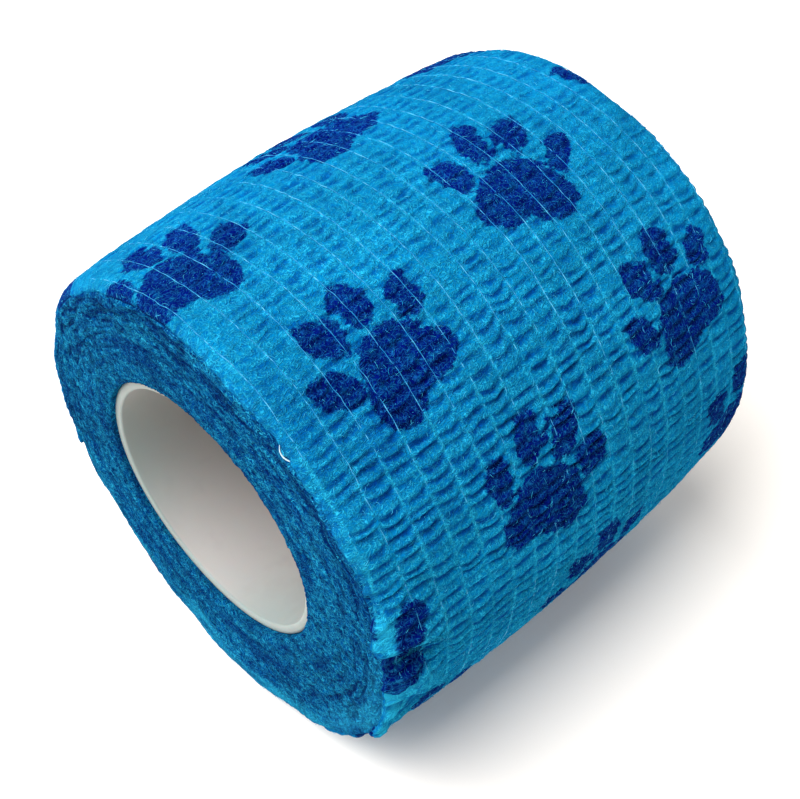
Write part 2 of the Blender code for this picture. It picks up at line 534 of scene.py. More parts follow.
def makeCloth(name, look, inkShare):
    # cloth colour from the painted shade of its creases to bare cloth, with pits, bright fibres and painted
    # fold highlights, then ink over both and painted glints over all
    material, shader = newMaterial(
        name, Roughness=look["roughness"], Specular_IOR_Level=0.004, Sheen_Weight=look["sheen"],
        Sheen_Roughness=0.5, Sheen_Tint=(0.10, 0.65, 1.0))
    uv = mapped(addNode("ShaderNodeUVMap")[0], Scale=look["scale"])
    streaks = useGroup("fibres", Vector=uv)
    # worn carries pale fibre, and on the outer turn also painted highlights on pucker ridges and fold
    # crests
    crisp, worn = attributeOf("crisp"), attributeOf("worn")
    # 0 in the painted shade of creases, gaps and slits, 1 on bare cloth
    unshaded = remap(attributeOf("toneAndShade"), *look["rise"])
    pitted = times(streaks["Pits"], look["pits"])
    patches = noise(uv, look["patches"])
    blotchFrom, blotchDark = look["blotches"]
    blotches = remap(patches, blotchFrom, 0.34, 0.0, blotchDark)
    dense = times(plus(remap(patches, 0.35, 0.65, look["thin"], 1.15), worn), crisp)
    # fibres fade into the painted shade
    raised = times(remap(unshaded, 0.15, 0.9, 0.15, 1.0), look["fibres"])
    lit = times(streaks["Mask"], times(raised, dense))
    lit = maths("MINIMUM", plus(lit, times(worn, 0.35)), 1.0)
    # painted highlights along the fold lines
    folds = times(times(streaks["Folds"], crisp), look["folds"])
    plain = layered(
        look["shadeAndPits"], (unshaded, look["cloth"]), (pitted, look["shadeAndPits"]),
        (blotches, look["shadeAndPits"]), (lit, look["fibre"]), (folds, look["fibre"]))
    inkFibres = times(streaks["Mask"], look["inkFibres"])
    ink = layered(
        look["inkShadeAndPits"], (unshaded, look["ink"]), (pitted, look["inkShadeAndPits"]),
        (inkFibres, look["inkFibre"]))
    # painted glints on single fibres, over the ink too
    glints = times(streaks["Sparks"], 0.7)
    colour = layered(plain, (inkShare(uv, streaks), ink), (glints, look["spark"]))
    drift = useGroup("uneven", Vector=uv, Broad=0.12, Fine=1.3)["Value"]
    shade = remap(drift, 0.3, 0.7, 0.78, 1.15)
    grey = addNode("ShaderNodeCombineColor", Red=shade, Green=shade, Blue=shade)[0]
    cells, roughness, height = look["felt"]
    felt = times(noise(uv, cells, detail=4.0, roughness=roughness), height)
    relief = plus(felt, times(streaks["Height"], look["matting"]))
    if look["calmed"]:
        relief = times(relief, crisp)
    colour = mixColour(1.0, colour, grey, "MULTIPLY")
    fill(shader, Base_Color=colour, Normal=bumpOf(relief))
    return material


strandLook = {  # two colours, roughness and shine
    "elasticThread": ((0.006, 0.18, 0.44), (0.10, 0.47, 0.72), 0.7, 0.05),
    "whiteLint": ((0.30, 0.52, 0.62), (0.62, 0.72, 0.75), 0.8, 0.1),
    "looseFibre": ((0.006, 0.30, 0.54), (0.06, 0.54, 0.80), 0.6, 0.15),
}


def makeStrandMaterial(name):
    # one colour over the other: lint by a fine noise, fibres by their tone, and threads by their
    # tone where a slow noise leaves them bare
    low, high, roughness, shine = strandLook[name]
    material, shader = newMaterial(name, Roughness=roughness, Specular_IOR_Level=shine)
    if name == "whiteLint":
        share = remap(noise(addNode("ShaderNodeTexCoord")["Object"], 9000.0), 0.35, 0.65)
    else:
        share = attributeOf("tone")
    if name == "elasticThread":
        cover = noise(addNode("ShaderNodeUVMap")[0], 0.8, detail=3.0)
        share = times(remap(cover, 0.38, 0.66), share)
    fill(shader, Base_Color=mixColour(share, low, high))
    return material


coreLook = {
    "plastic": (0.396, 0.372, 0.360),
    "grime": (0.368, 0.344, 0.330),
    # the lip's colour is painted: darker as shade, and blue-green for the cloth's light on its edge
    "lip": (0.250, 0.300, 0.290),
    "gloss": (0.36, 0.5),  # roughness of the clean and the grimy plastic
}


def makeCoreMaterial():
    material, shader = newMaterial(
        "corePlastic", Specular_IOR_Level=0.35, Subsurface_Weight=0.25, Subsurface_Scale=0.0008)
    place = addNode("ShaderNodeTexCoord")["Object"]
    drift = useGroup("uneven", Vector=place, Broad=60.0, Fine=500.0)["Value"]
    dirty = remap(drift, 0.5, 0.72)
    lip = attributeOf("lip")
    # painted shade and painted blue light from the cloth on the lip
    colour = layered(coreLook["plastic"], (dirty, coreLook["grime"]), (lip, coreLook["lip"]))
    gloss = remap(drift, 0.3, 0.7, *coreLook["gloss"])
    relief = bumpOf(drift, strength=0.2, distance=0.0001)
    fill(shader, Base_Color=colour, Roughness=gloss, Normal=relief)
    return material


materials = {
    "crinkle": makeCloth("crinkleCloth", crinkleLook, printedInk),
    "end": makeCloth("endCloth", endLook, edgeInk),
    "thread": makeStrandMaterial("elasticThread"),
    "fibre": makeStrandMaterial("looseFibre"),
    "lint": makeStrandMaterial("whiteLint"),
    "core": makeCoreMaterial(),
}
print("materials made")


# ---- outer turn of the strip

outerTurn = {
    "startAngle": 196.0,  # hidden under the cut end
    "endAngle": 560.0,
    "puckers": 134,  # round the roll
    # rows of one pucker, steep on its lower side and gentle on the upper: their places and
    # heights, how far painted shade darkens each row, and each row's painted highlight of pale fibre
    "rowPlaces": (0.0, 0.16, 0.30, 0.45, 0.68, 0.86),
    "rowHeights": (0.0, 0.42, 0.93, 1.0, 0.66, 0.26),
    "rowPaintedShade": (1.1, 1.85, 2.8, 1.0, 0.5, 1.0),
    "rowHighlight": (0.0, 0.0, 0.25, 0.35, 0.10, 0.0),
    "columnPlaces": (0.0, 0.09, 0.28, 0.50, 0.72, 0.91),  # between two threads
    "marginPlaces": (0.36, 0.72, 1.0),  # between the first or last thread and the edge
    "threads": 19,
    "firstThread": 0.9,  # from the near edge
    "threadPitch": 2.68,
    "height": 0.42,  # of a pucker
    "restLevel": 0.66,  # share of that height which lies on the mean surface
    "atThread": 0.18,  # share of it left where a thread holds the cloth
    "creaseWander": 0.51,  # of creases from column to column, in pucker lengths
    "calmTop": 0.26,  # share of the height that is lost on top of the roll
    # the next value is the share of the painted crease shade that is lost on top of the roll
    "topShadeLoss": 0.40,  # and of the darkness of the creases
    "calmFar": 0.22,  # the same towards the far edge
    "sag": 0.36,  # how far a crease bows between two threads, mm
    "wiggle": 0.20,  # of a crease on its way across, mm
    "broken": 0.50,  # share of a crease's depth that is lost where it breaks off
    "waves": ((0.07, 5.0, 6.0, 41), (0.05, 0.62, 0.5, 44)),  # height, across, along, seed
    "cloth": 0.48,  # thickness
    "edgeBend": 1.00,  # how far the edge turns over the rim, radians
    "scallop": {-1: 0.10, 1: 0.34},  # of the near and far edge, by the puckers
    "ragged": {-1: 0.14, 1: 0.32},
    "puff": {-1: 0.9, 1: 3.4},  # how much higher the puckers get towards the edge
    "lip": (1.15, -2.0, 26.0),  # flare of the near edge: mm, angle of its middle, half width
    "slack": (1.05, 36.0),  # loose folds at the flare: height and half width
    "flap": (0.45, 30.0),  # lifted edge at the flare
    "tail": (0.14, 2.6),  # the cut end: lift, and length that lifts
    "mottle": 0.26,  # share of the tone that is lost in the darkest patches
    # painted shade over two patches on the near half: share, angle and spread round the roll, place and
    # width across
    "shadedPatches": ((0.30, 50, 22, -17, 9.0), (0.26, 66, 12, -22, 3.4)),  # share, angles, across
    "lineWear": 0.85,  # pale fibre where a thread pulls the cloth up
    "fringe": (1.1, 0.75),  # pale and dark strips of fibre at the flare
    "seed": 7,
}
stripLength = math.radians(outerTurn["endAngle"] - outerTurn["startAngle"]) * roll["radius"]
puckerPitch = stripLength / outerTurn["puckers"]
threadCount = outerTurn["threads"]
threadColumns = len(outerTurn["marginPlaces"]) + len(outerTurn["columnPlaces"]) * np.arange(threadCount)


def stripAngle(along):
    return outerTurn["startAngle"] + np.degrees(along / roll["radius"])


def threadAcross(along, index):
    # straight lines that drift together and waver one by one
    start = -halfWidth + outerTurn["firstThread"] + outerTurn["threadPitch"] * index
    together = 0.28 * np.sin(along / 17.0 + 0.6) + 0.12 * np.sin(along / 5.3)
    return start + together + 0.13 * softNoise(along / 6.0, index * 7.3, 11)


def perRow(key, last):
    # the values of one pucker's rows, repeated for all puckers
    return np.append(np.tile(outerTurn[key], outerTurn["puckers"]), last)[:, None]


def creaseTables():
    # one row for each crease and one column for each strip between threads: place along the strip,
    # height of the pucker above it, how far it is closed, its sag, and two shifts of the print
    rng = np.random.default_rng(outerTurn["seed"])
    creases = outerTurn["puckers"] + 1
    k, j = np.meshgrid(np.arange(creases), np.arange(threadCount - 1), indexing="ij")
    wander = outerTurn["creaseWander"] * softNoise(k / 3.1, j / 1.7 + 0.4, 21)
    wander += np.clip(rng.normal(0, 0.11, k.shape), -0.22, 0.22)
    ends = rise(np.minimum(k, creases - 1 - k), 0, 4)
    place = (k + wander * ends) * puckerPitch
    uneven = 0.62 + 0.5 * rng.random(k.shape) + 0.30 * softNoise(k / 6.0, j / 3.0, 22)
    isClosed = rng.random(k.shape) < 0.16
    closed = np.where(isClosed, rng.uniform(0.35, 0.8, k.shape), rng.uniform(0, 0.15, k.shape))
    sag = outerTurn["sag"] * rng.uniform(-0.3, 1.5, k.shape) * ends
    inkShift = rng.uniform(-0.42, 0.42, (2, *k.shape))
    return place, outerTurn["height"] * uneven, closed, sag, inkShift


def atThreads(table):
    # values of the strips between threads, as means at the threads
    wide = np.pad(table, ((0, 0), (1, 1)), mode="edge")
    return (wide[:, :-1] + wide[:, 1:]) / 2


def outerGrid():
    # seven tables of the strip's outer face: across, along, pucker share, height, two shifts of
    # the print, and the share of a crease's painted shade. Rows follow the creases, so each
    # valley is sharp: row q of pucker k lies at the share rowPlaces[q] between crease k and
    # crease k + 1, at the height rowHeights[q]. Columns stand at columnPlaces between threads
    place, height, closed, sag, inkShift = creaseTables()
    puckers = np.arange(outerTurn["puckers"])
    k = np.append(np.repeat(puckers, len(outerTurn["rowPlaces"])), puckers[-1])
    t, shape = perRow("rowPlaces", 1.0), perRow("rowHeights", 0.0)
    blend = lambda table: table[k] * (1 - t) + table[k + 1] * t
    rowAlong, rowHeight, rowSag = blend(place), blend(height), blend(sag)
    rowShare = shape + (1 - shape) * blend(closed)
    meanAlong = (k[:, None] + t) * puckerPitch
    lines = threadAcross(meanAlong, np.arange(threadCount)[None, :])
    held = outerTurn["atThread"]
    lineAlong, lineShare, lineHeight = atThreads(rowAlong), atThreads(rowShare), atThreads(rowHeight) * held
    columns = []
    for a in outerTurn["columnPlaces"]:
        own = rise(min(a, 1 - a), 0, 0.12)
        bow = 1 - (2 * a - 1) ** 2
        between = lambda table: table[:, :-1] * (1 - a) + table[:, 1:] * a
        full = rowHeight * (held + (1 - held) * bow ** 0.5)
        columns.append((
            between(lines),
            between(lineAlong) * (1 - own) + rowAlong * own - rowSag * bow,
            between(lineShare) * (1 - own) + rowShare * own,
            between(lineHeight) * (1 - own) + full * own,
            inkShift[0][k] * own,
            inkShift[1][k] * own,
            np.full_like(rowShare, 0.05 + 0.95 * bow ** 0.6),
        ))
    none = np.zeros((len(k), 1))
    lastLine = (lines, lineAlong, lineShare, lineHeight, none, none, none + 0.05)
    across, along, shares, heights, shiftAcross, shiftAlong, creaseShadeShare = (
        beside(np.stack(parts, axis=2).reshape(len(k), -1), last[:, -1:])
        for parts, last in zip(zip(*columns), lastLine)
    )

    def creaseNoise(cell, step, seed):
        # noise of place across and crease number, blended from crease to crease
        low = softNoise(across / cell, k[:, None] * step, seed)
        return low * (1 - t) + softNoise(across / cell, (k[:, None] + 1) * step, seed) * t

    around = stripAngle(meanAlong) % 360
    onTop = rise(around, 45, 75) * fade(around, 150, 190)
    farther = 1 - outerTurn["calmFar"] * rise(across, 4, 20)
    heights *= 1 + 0.35 * creaseNoise(0.95, 1.9, 25)
    heights *= (1 - outerTurn["calmTop"] * onTop) * farther
    creaseShadeShare *= (1 - outerTurn["topShadeLoss"] * onTop) * farther
    along += outerTurn["wiggle"] * creaseNoise(0.85, 2.9, 24)
    upper = 0.35 + 0.65 * rise(around, 10, 70)
    broken = upper * rise(creaseNoise(1.05, 3.7, 23), -0.05, 0.45)
    shares += (1 - shares) * outerTurn["broken"] * broken
    return meanAlong, (across, along, shares, heights, shiftAcross, shiftAlong, creaseShadeShare)


def edgeAcross(along, share, side):
    # the cut edge: edgeBend over the rim, scalloped by the puckers and a little ragged
    angle = stripAngle(along)
    edge = halfBarrel(angle, side) + outerTurn["edgeBend"] * rimRounding(angle)
    ragged = outerTurn["ragged"][side] * softNoise(along / 0.95, 3.0 + side, 31)
    ragged += 0.12 * softNoise(along / 4.5, side, 32)
    return edge + outerTurn["scallop"][side] * (share - 0.5) + ragged


def addMargins(tables):
    # more columns outside the first and the last thread, out to the cut edges
    margins = []
    for side, column in ((-1, 0), (1, -1)):
        across, along, share, height, *shifts, creaseShadeShare = (table[:, column] for table in tables)
        edge = side * edgeAcross(along, share, side)
        columns = [(
            across * (1 - a) + edge * a,
            along + 0.10 * a * softNoise(along / 0.9, side, 33),
            share,
            height * (1 + outerTurn["puff"][side] * a),
            *shifts,
            np.full_like(creaseShadeShare, 0.05 + 0.6 * a),
        ) for a in outerTurn["marginPlaces"]]
        margins.append([np.stack(parts, axis=1) for parts in zip(*columns[::side])])
    return [beside(*parts) for parts in zip(margins[0], tables, margins[1])]


def lipFlare(angle, across):
    # the near edge stands away from the end face over a stretch of the rim: how far, the share of
    # the flare, and its waves
    size, middle, spread = outerTurn["lip"]
    edge = halfBarrel(angle, -1) + outerTurn["edgeBend"] * rimRounding(angle)
    share = hump(fromAngle(angle, middle), 0, spread) * rise(-across - edge, -1.7, 0)
    ragged = softNoise(angle / 4.3 + 50, 0, 45) + 0.6 * softNoise(angle / 1.7 + 50, 0, 46)
    torn = 0.30 * softNoise(angle / 0.9 + 50, across / 0.7 + 50, 63)
    return size * share * (0.75 + 0.55 * ragged + torn), share, ragged


def outerLift(across, along, shares, heights):
    # height above the mean surface: the puckers, two soft waves, loose folds and a lifted edge at
    # the flare, and the cut end. The shares that the tone needs too are returned with it
    angle = stripAngle(along)
    fromNear = halfBarrel(angle, -1) + across  # from where the near rim starts to round
    fromLip = fromAngle(angle, outerTurn["lip"][1])
    slackHeight, slackSpread = outerTurn["slack"]
    flapHeight, flapSpread = outerTurn["flap"]
    tailLift, tailLength = outerTurn["tail"]
    onTop = rise(angle % 360, 15, 65)
    part = {
        "fromNear": fromNear,
        "shown": rise(along, 3, 7),  # flat where it lies under the cut end
        "full": 1 - (0.15 + 0.65 * onTop) * fade(fromNear, -0.4, 3.2),
        "slack": hump(fromLip, 0, slackSpread) * fade(fromNear, 0.5, 8.0),
        "folds": softNoise(along / 1.9 + across / 4.0 + 20, across / 4.4 + 20, 58),
        "flap": hump(fromLip, 0, flapSpread),
        "tail": rise(along, stripLength - tailLength, stripLength),
    }
    lift = heights * part["full"] * (shares - outerTurn["restLevel"]) * part["shown"]
    for (height, wide, long, seed), shift in zip(outerTurn["waves"], (40, 90)):
        lift += height * softNoise(across / wide + shift, along / long, seed) * part["shown"]
    lift += slackHeight * part["slack"] * part["folds"]
    flutter = softNoise(along / 1.0 + 9, across / 1.2 + 60, 60)
    lift += flapHeight * part["flap"] * fade(fromNear, -0.2, 2.2) * flutter
    return lift + tailLift * part["tail"], part


def outerTone(across, along, shares, creaseShadeShare, part, lipShare, ragged):
    # tone is 0 in the valleys' painted shade and 1 on bare cloth, wear is pale fibre and painted highlight,
    # crisp is relief
    angle = stripAngle(along)
    around = angle % 360
    shown, slack, folds, fromNear = (part[key] for key in ("shown", "slack", "folds", "fromNear"))
    # painted shade in the creases, by row and by column
    paintedShade = (1 - shares) * perRow("rowPaintedShade", 1.0) * creaseShadeShare * (0.35 + 0.65 * part["full"]) * shown
    tone = np.clip(1 - paintedShade, 0, 1)
    # painted highlight of pale fibre on each pucker's ridge
    wearAndHighlight = perRow("rowHighlight", 0.0) * (1 - shares * 0.5) * shown
    # the edges, from where they bend over the rims
    frayed = 0.5 * softNoise(across / 0.9 + 70, along / 0.7, 47)
    frayed += 0.4 * softNoise(along / 2.6, 0, 48)
    bent = -np.minimum(fromNear, halfBarrel(angle, 1) - across) / rimRounding(angle)
    rim = rise(1.08 - bent + 0.40 * frayed, 0, 0.65)
    tone *= 0.62 + 0.38 * np.maximum(rim, lipShare)
    # darker patches
    mottle = softNoise(across / 1.3 + 30, along / 1.2, 49)
    mottle += 0.6 * softNoise(across / 3.4 + 30, along / 2.8, 57)
    tone *= 1 - outerTurn["mottle"] * rise(mottle, -0.1, 0.7)
    # painted shade over two patches on the near half
    shadedPatches = sum(
        share * hump(around, middle, spread) * hump(across, place, wide)
        for share, middle, spread, place, wide in outerTurn["shadedPatches"]
    )
    tone *= 1 - shadedPatches
    # the flared lip
    matted = softNoise(across / 0.45 + 30, along / 0.55, 62)
    pale = rise(ragged, -0.9, 0.3) * (0.15 + 0.85 * rise(matted, -0.35, 0.25))
    wearAndHighlight += 0.9 * lipShare * pale
    tone *= 1 - 0.65 * lipShare * rise(-matted, 0.05, 0.5)
    # pale fibre where the edges bend over the rims; painted highlight on the crests of the loose folds and
    # painted shade in their troughs
    wearAndHighlight += 0.5 * slack * rise(folds, 0.1, 0.6) + 0.22 * (1 - rim)
    tone *= 1 - 0.5 * slack * rise(-folds, 0.15, 0.55)
    # threads that pull the cloth up, less so on the far side and underneath
    atThread = np.zeros(across.shape[1])
    atThread[threadColumns] = 1
    pulled = rise(softNoise(along / 1.5, across / 2.0 + 150, 61), -0.45, 0.25)
    sunk = rise(around, 96, 126) - rise(around, 290, 320)
    wearAndHighlight += outerTurn["lineWear"] * (1 - 0.8 * sunk) * atThread * pulled * shown
    # strips of fibre along the flared edge
    paleStrips, darkStrips = outerTurn["fringe"]
    fringe = part["flap"] * rise(1.9 - fromNear + 1.3 * frayed, 0, 1)
    strips = softNoise(across / 0.42 + along / 1.9 + 120, along / 2.2, 59)
    wearAndHighlight += paleStrips * fringe * rise(strips, -0.25, 0.25)
    tone *= 1 - darkStrips * fringe * rise(-strips, 0.2, 0.55)
    soft = np.maximum(0.5 * rise((angle - 435) / 40 + across / 40, 0, 1), 0.35 * rise(across, 8, 24))
    return tone, wearAndHighlight, 1 - soft


def makeOuterTurn():
    meanAlong, tables = outerGrid()
    across, along, shares, heights, shiftAcross, shiftAlong, creaseShadeShare = addMargins(tables)
    lift, part = outerLift(across, along, shares, heights)
    cutLine = 0.16 * softNoise(across / 1.1 + 60, 0, 42) + 0.25 * softNoise(across / 9.0 + 60, 0, 43)
    along += part["tail"] * cutLine
    flare, lipShare, ragged = lipFlare(stripAngle(along), across)
    angle, radius, y = overRoll(stripAngle(along), across, lift)
    y -= flare
    radius += lipShare * (0.12 + 0.30 * ragged)
    outer = placePoints(angle, radius, y)

    def edgeWall(column, inward):
        # the cut edge's thickness, a little rounded
        wallY = y[:, column] - inward * 0.10 * np.sign(across[:, column])
        return placePoints(angle[:, column], radius[:, column] - inward, wallY)

    def innerEdge(side):
        return side * (halfBarrel(meanAngle, side) + 0.5 * rimRounding(meanAngle))

    meanAngle = stripAngle(meanAlong)
    innerAcross = beside(innerEdge(1), 0.1 * innerEdge(1), innerEdge(-1))
    inner = placePoints(*overRoll(meanAngle, innerAcross, -outerTurn["cloth"]))
    farWall = np.stack((edgeWall(-1, 0.14), edgeWall(-1, 0.34)), axis=1)
    nearWall = np.stack((edgeWall(0, 0.34), edgeWall(0, 0.14)), axis=1)
    points = beside(outer, farWall, inner, nearWall)
    width = outer.shape[1]
    behind = np.arange(1, points.shape[1] - width + 2)  # the last one closes the ring
    uvAcross = beside(across, across[:, -1:] + 0.3 * behind)
    uvAlong = beside(along, along[:, -1:] + 0 * behind)

    def hold(table, value):
        # the columns behind the outer face have one value
        return np.pad(table, ((0, 0), (0, len(behind) - 1)), constant_values=value)

    ink = hold(printDistance(across + shiftAcross, along + shiftAlong), 5.0)
    ink[:, width:width + 2] = ink[:, width - 1:width]
    ink[:, -2:] = ink[:, :1]
    tone, wearAndHighlight, crisp = outerTone(across, along, shares, creaseShadeShare, part, lipShare, ragged)
    fields = {"toneAndShade": hold(tone, 0.45), "ink": ink, "worn": hold(wearAndHighlight, 0.1), "crisp": hold(crisp, 0.7)}
    uv = np.stack((uvAcross, uvAlong), axis=-1)
    piece = loft("outerTurn", points[None], uv, fields, materials["crinkle"], capEnds=True)
    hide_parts("bandage")
    return piece, across, along, lift


outerPiece, clothAcross, clothAlong, clothLift = makeOuterTurn()


# ---- turns below, seen at both ends

woundTurns = {
    "seamAngle": 196.0,
    "sides": 560,
    "nearRows": 88,
    "farRows": 66,
    "wallPlaces": (-0.985, -0.9, 0.0, 0.9, 0.985),
    "turns": 21.5,  # at the seam
    "under": 0.56,  # how deep the outer turn's underside lies
    "underLip": 0.42,  # and how deep the end face lies under its edge
    "dish": 0.2,
    "ridge": 0.05,  # height of one turn's edge above the gaps beside it
    "stray": 0.06,  # how far single turns stand in or out
    "felt": 0.07,
    "slit": 0.10,  # depth of the slits between loose turns
    "boreClearance": 0.04,
    "boreRound": 0.26,  # how far the first turn's edge sinks towards the tube
    "wrap": 144,  # cells of the crinkle round the roll
    "paler": 1.6,  # pale fibre on the outer turns low on the face
    "uvRadius": 20.0,
}


def stripPlace(angle, turn):
    # distance along the strip, back from the outer turn, of the turn that far in
    share = (angle - woundTurns["seamAngle"]) / 360
    shrink = roll["thickness"] * (turn * turn / 2 - turn * share)
    return 2 * math.pi * (roll["radius"] * (share - turn) + shrink)


def endSurface(angle, inward, side):
    # the plain end: inward runs from 0, under the outer turn's lip, to 1 at the bore. A quarter
    # round from the barrel, then a line to the bore with a slight dish, sinking at the tube
    turn = np.radians(angle)
    rounding = rimRounding(angle)
    outerR = barrelRadius(angle, side * (halfWidth - rounding))
    reach = coreRadius + woundTurns["boreClearance"]
    boreX = roll["coreOffset"][0] + reach * np.cos(turn)
    boreZ = roll["coreOffset"][1] + reach * np.sin(turn)
    boreR = np.hypot(boreX, boreZ)
    lipR = outerR - rounding * (1 - math.cos(outerTurn["edgeBend"]))
    radius = lipR + (boreR - lipR) * inward
    pointAngle = angle + fromAngle(np.degrees(np.arctan2(boreZ, boreX)), angle) * inward
    rimY = np.abs(rimPlace(angle, side))
    tiltX, tiltZ = roll["tilt"][side]
    boreY = halfWidth + side * (tiltX * boreX + tiltZ * boreZ)
    drop = np.clip(outerR - radius, 0, rounding) / rounding
    share = np.clip((outerR - radius) / (outerR - boreR), 0, 1)
    y = rimY - rounding * (1 - np.sqrt(1 - (1 - drop) ** 2)) + (boreY - rimY) * share
    y = y - woundTurns["underLip"] * fade(inward, 0, 0.035) - woundTurns["dish"] * np.sin(math.pi * share)
    return pointAngle, radius, y - woundTurns["boreRound"] * rise(inward, 0.84, 1.0) ** 1.6, share


def nearAngle(angle, middle):
    # 1 within about 30 degrees of the middle, 0 beyond about 100
    return rise(1.5 - np.abs(fromAngle(angle, middle)) / 65, 0, 1)


def endFace(angle, inward, side, seed):
    # turn edges are ridges |sin(pi n)| of n, the number of turns in from the outside; n strays
    # with the crinkle, whole turns stand in or out of line, and slits open between loose ones
    pointAngle, radius, y, share = endSurface(angle, inward, side)
    turned = (angle - woundTurns["seamAngle"]) / 360
    wrap = woundTurns["wrap"]
    cell = turned * wrap
    crinkle = 0.30 * softNoise(cell, radius / 0.8, seed + 1, wrap)
    crinkle += 0.25 * softNoise(cell / 2, radius / 1.9, seed + 2, wrap // 2)
    n = (woundTurns["turns"] + turned) * share + crinkle * rise(share, 0, 1 / 12)
    whole = np.floor(n)
    ridge = np.abs(np.sin(math.pi * n)) ** 0.6
    strip = stripPlace(angle, whole)
    proud = softNoise(strip / 9.0, whole * 5.7, seed + 3)
    proud += 0.6 * softNoise(strip / 2.2, whole * 5.7, seed + 4)
    grain = softNoise(cell * 3.1, radius / 0.28, seed + 5)
    slits = rise(softNoise(cell / 3, radius / 0.42, seed + 6, wrap // 3), 0.12, 0.52)
    slits *= rise(inward, 0.03, 0.09) * fade(inward, 0.30, 0.65) * (1 - 0.8 * nearAngle(angle, 250))
    relief = woundTurns["ridge"] * (ridge - 0.6) * (0.7 + 0.5 * proud)
    relief += woundTurns["stray"] * proud * ridge + woundTurns["felt"] * grain
    y = y - woundTurns["slit"] * slits + relief * rise(inward, 0, 0.05)
    window = np.hanning(15)[1:-1]
    ink = printDistance(side * (halfWidth - 0.5) + 0 * strip, strip)
    ink = runningMean(np.clip(ink, -1.6, 1.6), window)
    # the tone: painted shade in the gaps between turn edges and in the slits, random grain, and lighter
    # next to the rim
    height = 0.48 + 0.25 * ridge + 0.35 * grain + 0.2 * proud + 0.45 * fade(inward, 0, 0.12)
    height = np.clip(height - 0.6 * slits, 0, 1.3)
    drift = softNoise(cell / 5 + 20, radius / 2.4, seed + 7)
    paler = nearAngle(angle, 280) * fade(inward - 0.12 * drift, 0.11, 0.31)
    return pointAngle, radius, side * y, height + 0.25 * paler, ink, woundTurns["paler"] * paler


def runningMean(table, window):
    # each row's mean under the window, with its end values held
    half = len(window) // 2
    weights = window / window.sum()
    smooth = lambda row: np.convolve(np.pad(row, half, mode="edge"), weights, mode="valid")
    return np.apply_along_axis(smooth, 1, table)


def makeWoundTurns():
    sides = woundTurns["sides"]
    angle = (woundTurns["seamAngle"] + 360 * np.arange(sides) / (sides - 0.25))[:, None]
    # rows in order: outer wall from near to far, far end inwards, bore, near end outwards
    places = np.array(woundTurns["wallPlaces"])[None, :]
    reach = np.where(places < 0, halfBarrel(angle, -1), halfBarrel(angle, 1))
    wallAngle, wallRadius, wallY = overRoll(angle, places * reach, -woundTurns["under"])
    wallRadius = np.minimum(wallRadius, barrelRadius(angle, wallY) - woundTurns["under"])
    plain = np.ones_like(wallY)
    wall = (wallAngle, wallRadius, wallY, 0.5 * plain, 5.0 * plain, 0 * plain)
    far = endFace(angle, np.linspace(0, 1, woundTurns["farRows"])[None, :], 1, 60)
    near = endFace(angle, np.linspace(1, 0, woundTurns["nearRows"])[None, :], -1, 80)
    angles, radius, y, height, ink, wearAndHighlight = (beside(*parts) for parts in zip(wall, far, near))
    # uv in mm: round the roll at a middle radius, and outwards
    round_ = np.radians(angle[:, 0]) * woundTurns["uvRadius"]
    round_ = np.append(round_, round_[-1] + 0.22)
    wallOut = np.linspace(-50, 0, places.size)
    outwards = np.concatenate((wallOut, 30 - far[1].mean(0), 90 + near[1].mean(0)))
    outwards = np.append(outwards, outwards[-1] + 1)
    uv = np.stack(np.meshgrid(round_, outwards, indexing="ij"), axis=-1)
    points = placePoints(angles, radius, y)[None]
    fields = {"toneAndShade": height, "ink": ink, "worn": wearAndHighlight, "crisp": 1 - 0.35 * np.clip(wearAndHighlight, 0, 1)}
    piece = loft("woundTurns", points, uv, fields, materials["end"], closedRows=True)
    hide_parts("bandage")


makeWoundTurns()


# ---- elastic threads, loose fibres and lint

threads = {
    "radius": 0.038,
    "sides": 4,
    "sunk": 0.085,  # centre below the cloth's mean height where the cloth covers it
    "bare": 0.125,  # and how much higher where it lies bare
    "stray": 0.062,
    "bareFrom": (44.0, 62.0),  # angles between which the threads come up, and sink again
    "bareTo": (98.0, 136.0),
    "leastBare": 0.28,  # share of that rise which is left elsewhere
    "freeEnds": (0.6, 2.2),  # length past the cut end
    "seed": 17,
}


def makeThreads():
    # each thread follows the cloth's own column at every second row, at its mean height there
    rng = np.random.default_rng(threads["seed"])
    number = np.arange(threadCount)[:, None]
    across, along = (table.T[threadColumns, ::2] for table in (clothAcross, clothAlong))
    lift = runningMean(clothLift.T[threadColumns], np.ones(11))[:, ::2]
    across += 0.07 * softNoise(along / 0.8, number * 2.3, 54)
    angle = stripAngle(along) % 360
    bare = rise(angle, *threads["bareFrom"]) * fade(angle, *threads["bareTo"])
    bare = threads["leastBare"] + (1 - threads["leastBare"]) * bare
    stray = 0.7 * softNoise(along / 7.0, number * 3.1, 51) + softNoise(along / 0.9, number * 4.7, 53)
    lift = lift - threads["sunk"] + threads["bare"] * bare + threads["stray"] * stray
    past = rng.uniform(*threads["freeEnds"], threadCount)[:, None] * np.linspace(0.2, 1.0, 6)
    freeLift = lift[:, -1:] + rng.uniform(-0.05, 0.25, (threadCount, 1)) * past ** 1.4
    freeAcross = across[:, -1:] + rng.uniform(-0.35, 0.35, (threadCount, 1)) * past ** 1.6
    along = beside(along, along[:, -1:] + past)
    across, lift = beside(across, freeAcross), beside(lift, freeLift)
    paths = placePoints(*overRoll(stripAngle(along), across, lift))
    uneven = softNoise(along / 0.8, number * 5.3, 52) + 0.8 * softNoise(along / 0.35, number * 6.1, 55)
    radii = threads["radius"] * mm * (1 + 0.35 * uneven)
    tone = np.clip(0.88 + 0.45 * uneven - 0.35 * (printDistance(across, along) < 0), 0, 1)
    tubes("elasticThreads", paths, radii, threads["sides"], materials["thread"], tone)


makeThreads()

fibres = {
    "count": 5200,
    "length": (0.15, 0.80),
    "radius": 0.017,
    "taper": (0.5, 1.0, 1.0, 1.0, 0.5),
    "sides": 3,
    "seed": 29,
}


